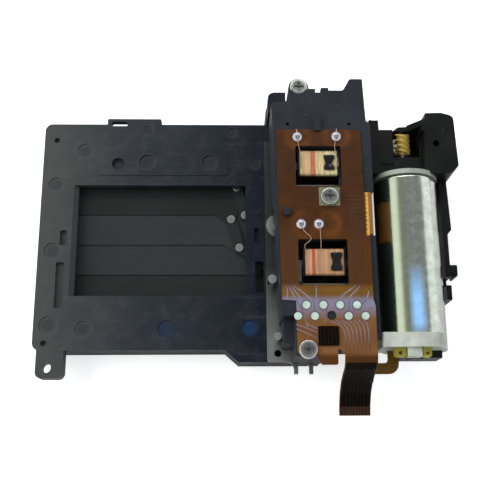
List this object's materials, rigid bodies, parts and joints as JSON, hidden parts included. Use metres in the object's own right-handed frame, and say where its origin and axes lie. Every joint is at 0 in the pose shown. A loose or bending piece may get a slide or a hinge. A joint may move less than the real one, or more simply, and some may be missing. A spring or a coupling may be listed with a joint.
{
  "type": "shutter assembly",
  "caption": "Vertical-run focal-plane shutter of an APS-C reflex camera: two four-blade curtains, electromagnet-held drive levers, charge motor with worm gearbox and flexible circuit board.",
  "frame": {"origin": "on the optical axis, at the rear seating face", "axes": "+Z along the optical axis out of the front, +Y up across the blades' travel, +X from the aperture to the drive side"},
  "size_m": [0.0725, 0.0571, 0.0167],
  "materials": {
    "black_plastic": "moulded, fine grain, matt",
    "grey_plastic": "moulded, matt dark grey",
    "gearbox_plastic": "moulded, satin black",
    "black_steel": "thin steel, matt black",
    "black_sheet": "anti-reflection black",
    "blade_paint": "dry lubricating black paint",
    "buffer_rubber": "soft rubber",
    "rivet_steel": "turned steel",
    "bright_steel": "stamped, nickel plated",
    "iron": "annealed soft iron, plated",
    "spring_steel": "drawn spring wire",
    "copper_wire": "enamelled copper winding",
    "brass": "turned brass",
    "gear_plastic": "moulded acetal, natural",
    "zinc_can": "drawn and plated can",
    "white_plastic": "moulded off-white",
    "tinned_brass": "tinned brass",
    "polyimide": "amber film over copper",
    "pad_plating": "plated copper pads",
    "solder": "reflowed solder",
    "stiffener": "dark backing film",
    "screw_steel": "nickel plated"
  },
  "bodies": {
    "base": {"base_plate": "black_plastic", "rear_cover": "black_steel", "partition_plate": "black_sheet", "arm_buffers": "buffer_rubber", "steel_plate": "bright_steel", "mechanism_cover": "grey_plastic", "first_yoke": "iron", "second_yoke": "iron", "first_bobbin": "black_plastic", "second_bobbin": "black_plastic", "first_coil": "copper_wire", "second_coil": "copper_wire", "first_drive_spring": "spring_steel", "second_drive_spring": "spring_steel", "fixed_pins": "rivet_steel", "motor_can": "zinc_can", "motor_end_cap": "white_plastic", "motor_rear_cover": "black_plastic", "motor_terminals": "tinned_brass", "motor_gasket": "grey_plastic", "gearbox_housing": "gearbox_plastic", "motor_bracket": "gearbox_plastic", "leaf_spring": "bright_steel", "ratchet_wheel": "bright_steel", "spacer_posts": "rivet_steel", "flex_board": "polyimide", "solder_joints": "solder", "board_stiffener": "stiffener", "board_contacts": "pad_plating", "cover_screws": "screw_steel", "washer_plate": "screw_steel", "rear_screws": "screw_steel"},
    "first_drive": {"first_drive_lever": "bright_steel", "first_armature": "iron", "first_main_arm": "blade_paint", "first_main_rivets": "rivet_steel"},
    "first_sub": {"first_sub_arm": "blade_paint", "first_sub_rivets": "rivet_steel"},
    "first_blade_1_body": {"first_blade_1": "blade_paint"},
    "first_blade_2_body": {"first_blade_2": "blade_paint"},
    "first_blade_3_body": {"first_blade_3": "blade_paint"},
    "first_blade_4_body": {"first_blade_4": "blade_paint"},
    "second_drive": {"second_drive_lever": "bright_steel", "second_armature": "iron", "second_main_arm": "blade_paint", "second_main_rivets": "rivet_steel"},
    "second_sub": {"second_sub_arm": "blade_paint", "second_sub_rivets": "rivet_steel"},
    "second_blade_1_body": {"second_blade_1": "blade_paint"},
    "second_blade_2_body": {"second_blade_2": "blade_paint"},
    "second_blade_3_body": {"second_blade_3": "blade_paint"},
    "second_blade_4_body": {"second_blade_4": "blade_paint"},
    "motor_rotor": {"motor_shaft": "rivet_steel", "worm": "brass"},
    "worm_wheel_body": {"worm_wheel": "gear_plastic"},
    "idler_body": {"idler_gear": "gear_plastic"},
    "cam_body": {"cam_gear": "gear_plastic"},
    "charge_lever_body": {"charge_lever": "bright_steel"},
    "charge_slider_body": {"charge_slider": "bright_steel"}
  },
  "joints": [
    {"name": "first_curtain", "type": "hinge", "parent": "base", "child": "first_drive", "pos_m": [0.0317, -0.0061, 0.008], "axis": [0, 0, 1], "range_deg": [0, 71]},
    {"name": "first_sub_arm_swing", "type": "hinge", "parent": "base", "child": "first_sub", "pos_m": [0.0327, 0, 0.00386], "axis": [0, 0, 1], "range_deg": [0, 71]},
    {"name": "first_blade_1_hinge", "type": "hinge", "parent": "first_drive", "child": "first_blade_1_body", "pos_m": [0.01526, 0.00425, 0.00386], "axis": [0, 0, 1], "range_deg": [-71, 0]},
    {"name": "first_blade_2_hinge", "type": "hinge", "parent": "first_drive", "child": "first_blade_2_body", "pos_m": [0.01675, -0.00104, 0.00386], "axis": [0, 0, 1], "range_deg": [-71, 0]},
    {"name": "first_blade_3_hinge", "type": "hinge", "parent": "first_drive", "child": "first_blade_3_body", "pos_m": [0.02146, -0.00336, 0.00386], "axis": [0, 0, 1], "range_deg": [-71, 0]},
    {"name": "first_blade_4_hinge", "type": "hinge", "parent": "first_drive", "child": "first_blade_4_body", "pos_m": [0.02655, -0.00472, 0.00386], "axis": [0, 0, 1], "range_deg": [-71, 0]},
    {"name": "second_curtain", "type": "hinge", "parent": "base", "child": "second_drive", "pos_m": [0.0317, 0.0061, 0.008], "axis": [0, 0, 1], "range_deg": [0, 71]},
    {"name": "second_sub_arm_swing", "type": "hinge", "parent": "base", "child": "second_sub", "pos_m": [0.0327, 0, 0.00114], "axis": [0, 0, 1], "range_deg": [0, 71]},
    {"name": "second_blade_1_hinge", "type": "hinge", "parent": "second_drive", "child": "second_blade_1_body", "pos_m": [0.01656, 0.01827, 0.00114], "axis": [0, 0, 1], "range_deg": [-71, 0]},
    {"name": "second_blade_2_hinge", "type": "hinge", "parent": "second_drive", "child": "second_blade_2_body", "pos_m": [0.02205, 0.01859, 0.00114], "axis": [0, 0, 1], "range_deg": [-71, 0]},
    {"name": "second_blade_3_hinge", "type": "hinge", "parent": "second_drive", "child": "second_blade_3_body", "pos_m": [0.02577, 0.01489, 0.00114], "axis": [0, 0, 1], "range_deg": [-71, 0]},
    {"name": "second_blade_4_hinge", "type": "hinge", "parent": "second_drive", "child": "second_blade_4_body", "pos_m": [0.02872, 0.01052, 0.00114], "axis": [0, 0, 1], "range_deg": [-71, 0]},
    {"name": "motor", "type": "hinge", "parent": "base", "child": "motor_rotor", "pos_m": [0.0454, 0, 0.01025], "axis": [0, 1, 0], "continuous": true},
    {"name": "worm_wheel_turn", "type": "hinge", "parent": "base", "child": "worm_wheel_body", "pos_m": [0.0424, 0.0152, 0.01025], "axis": [0, 0, 1], "continuous": true},
    {"name": "idler_turn", "type": "hinge", "parent": "base", "child": "idler_body", "pos_m": [0.03794, 0.01697, 0.01], "axis": [0, 0, 1], "continuous": true},
    {"name": "cam_turn", "type": "hinge", "parent": "base", "child": "cam_body", "pos_m": [0.03165, 0.0166, 0.0088], "axis": [0, 0, 1], "continuous": true},
    {"name": "charge_lever", "type": "hinge", "parent": "base", "child": "charge_lever_body", "pos_m": [0.0252, 0.0134, 0.007], "axis": [0, 0, 1], "range_deg": [-23.5, 0]},
    {"name": "charge_slider", "type": "slide", "parent": "base", "child": "charge_slider_body", "axis": [0, 1, 0], "range_m": [-0.0045, 0]}
  ],
  "couplings": [
    {"joint": "first_sub_arm_swing", "follows": "first_curtain", "ratio": 1},
    {"joint": "first_blade_1_hinge", "follows": "first_curtain", "ratio": -1},
    {"joint": "first_blade_2_hinge", "follows": "first_curtain", "ratio": -1},
    {"joint": "first_blade_3_hinge", "follows": "first_curtain", "ratio": -1},
    {"joint": "first_blade_4_hinge", "follows": "first_curtain", "ratio": -1},
    {"joint": "second_sub_arm_swing", "follows": "second_curtain", "ratio": 1},
    {"joint": "second_blade_1_hinge", "follows": "second_curtain", "ratio": -1},
    {"joint": "second_blade_2_hinge", "follows": "second_curtain", "ratio": -1},
    {"joint": "second_blade_3_hinge", "follows": "second_curtain", "ratio": -1},
    {"joint": "second_blade_4_hinge", "follows": "second_curtain", "ratio": -1},
    {"joint": "worm_wheel_turn", "follows": "motor", "ratio": 0.25},
    {"joint": "idler_turn", "follows": "motor", "ratio": -0.11364},
    {"joint": "cam_turn", "follows": "motor", "ratio": 0.035511},
    {"joint": "charge_lever", "follows": "charge_slider", "rad_per_m": 91.14}
  ]
}
